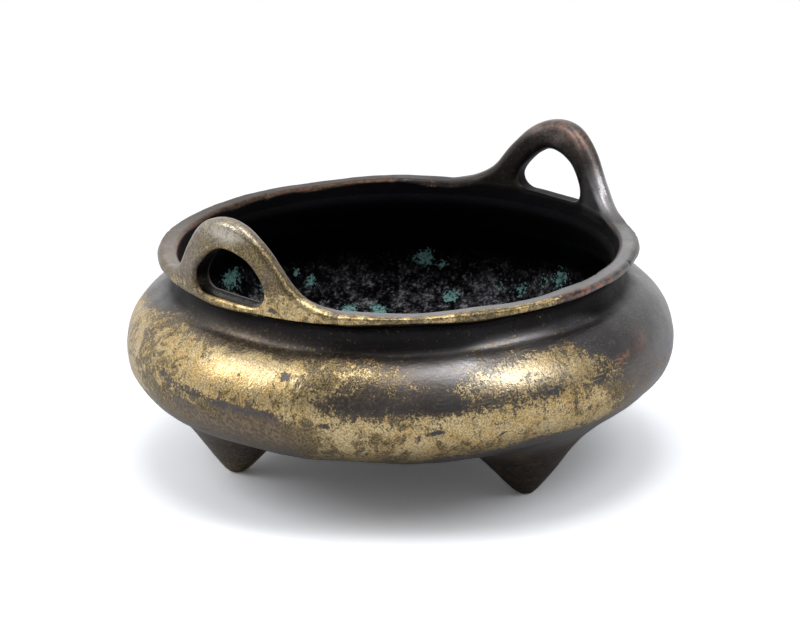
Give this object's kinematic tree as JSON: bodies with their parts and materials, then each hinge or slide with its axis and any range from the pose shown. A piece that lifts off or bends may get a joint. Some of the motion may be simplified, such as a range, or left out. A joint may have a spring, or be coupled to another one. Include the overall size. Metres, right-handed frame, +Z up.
{
  "type": "incense burner",
  "caption": "Low bulging bronze bowl for burning incense, with a flared mouth rim, upright loop ears and small conical feet.",
  "frame": {"origin": "on the surface that the feet stand on, under the centre of the bowl", "axes": "+Z up; the ears stand on the X axis, right_ear at +X; front_foot points to -Y"},
  "size_m": [0.1508, 0.1508, 0.0828],
  "materials": {
    "worn_bronze": "worn golden-brown patina with dark pitting, satin",
    "dark_bronze": "dark brown patina, satin"
  },
  "bodies": {
    "root": {"bowl": "worn_bronze", "mouth_rim": "worn_bronze", "right_ear": "dark_bronze", "left_ear": "worn_bronze", "front_foot": "dark_bronze", "right_foot": "dark_bronze", "left_foot": "dark_bronze"}
  },
  "joints": []
}
